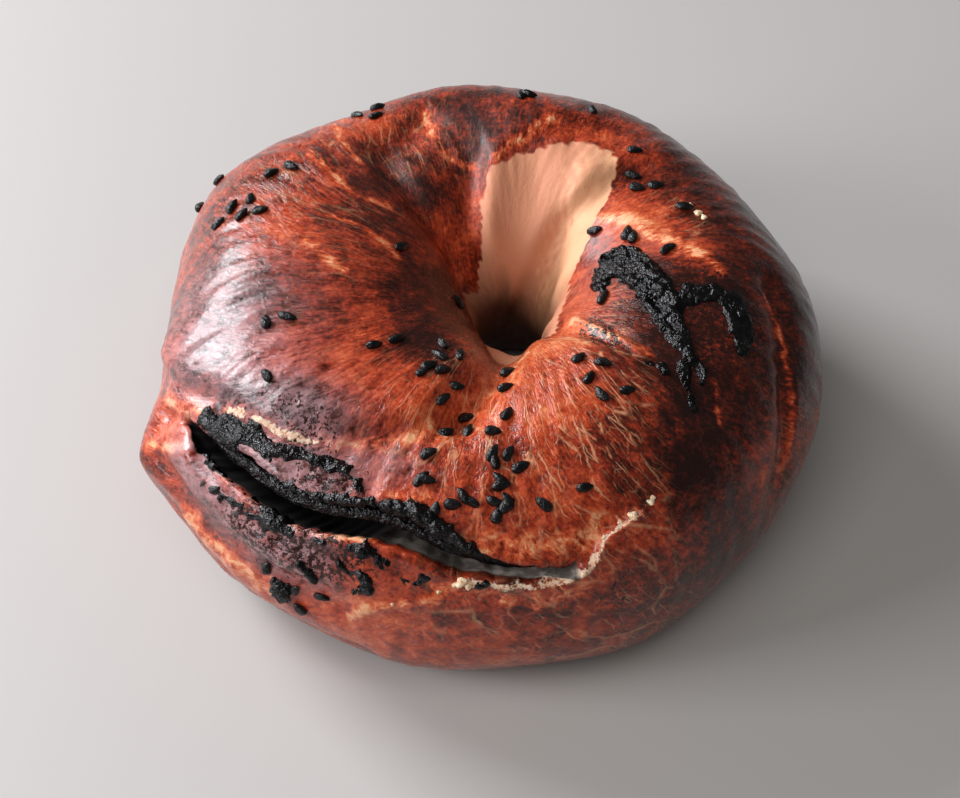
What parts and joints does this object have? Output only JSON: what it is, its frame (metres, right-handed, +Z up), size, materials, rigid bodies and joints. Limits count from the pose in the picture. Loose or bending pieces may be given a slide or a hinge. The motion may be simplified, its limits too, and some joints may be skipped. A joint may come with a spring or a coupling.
{
  "type": "acma ring bread",
  "caption": "Soft twisted ring bread with a glossy browned crust, split open over its black olive paste and strewn with nigella seeds.",
  "frame": {"origin": "middle of the bread's outline on the surface that it rests on", "axes": "+Z up through the bread, +X to the right and -Y towards the viewer when the split is at the front left"},
  "size_m": [0.1109, 0.1118, 0.0468],
  "materials": {
    "crust": "egg-washed red-brown crust, glossy, mottled, with fine pale stretch marks",
    "olive_paste": "moist, crumbly black olive paste with small glints",
    "nigella": "dry black seed coat with a soft sheen"
  },
  "bodies": {
    "root": {"dough_ring": "crust", "olive_paste": "olive_paste"}
  },
  "joints": []
}
